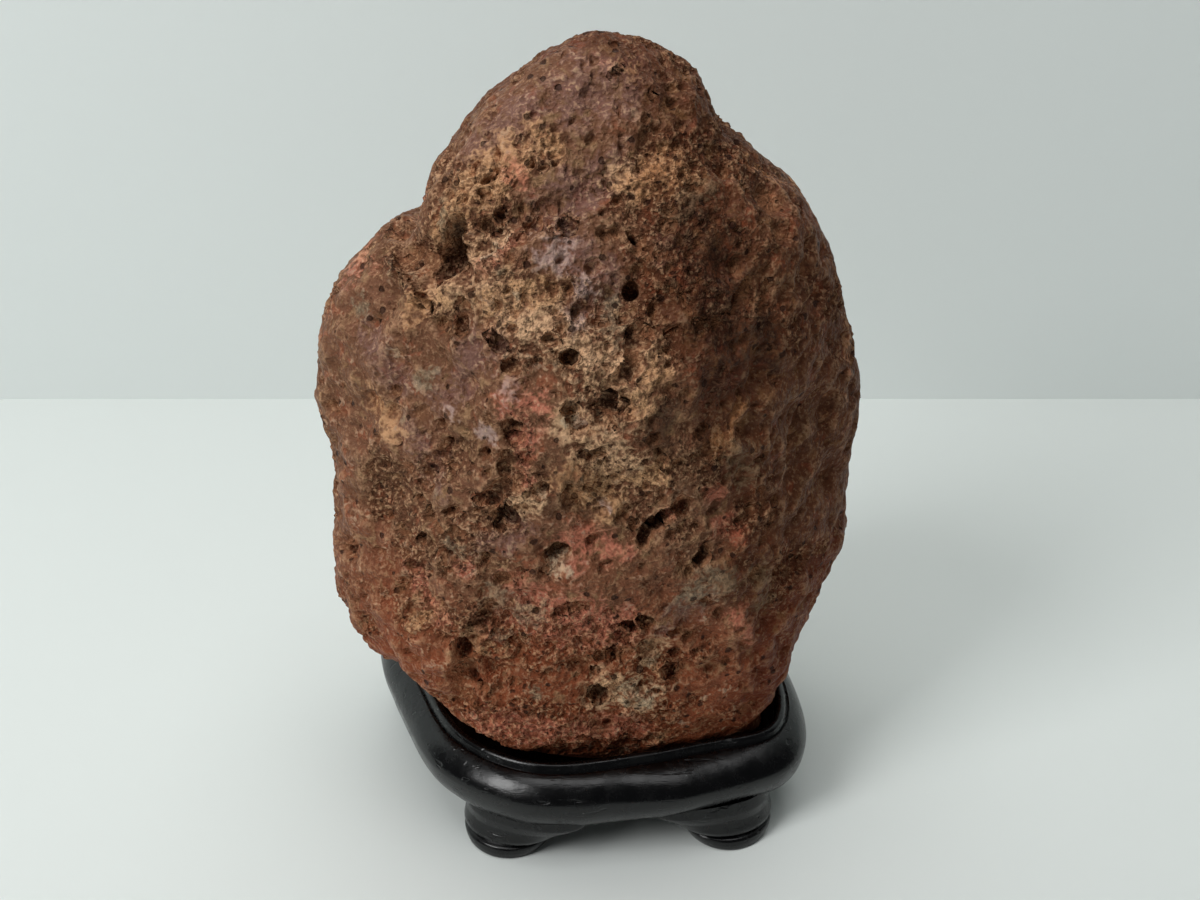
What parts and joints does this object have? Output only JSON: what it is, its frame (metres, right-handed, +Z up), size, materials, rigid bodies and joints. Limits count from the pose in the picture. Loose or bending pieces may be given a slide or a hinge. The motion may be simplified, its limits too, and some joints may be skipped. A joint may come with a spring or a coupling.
{
  "type": "scholars rock",
  "caption": "Small viewing stone with a pitted, weathered surface, standing in the shaped recess of a dark carved wooden stand on feet.",
  "frame": {"origin": "on the table, under the middle of the whole object's box", "axes": "+Z up; the stone's display side faces -Y; +X to the right seen from the front"},
  "size_m": [0.1162, 0.089, 0.1699],
  "materials": {
    "stone": "weathered, dull, with a slight rubbed sheen",
    "stand": "black lacquer, satin gloss"
  },
  "bodies": {
    "root": {"stone": "stone", "stand": "stand"}
  },
  "joints": []
}
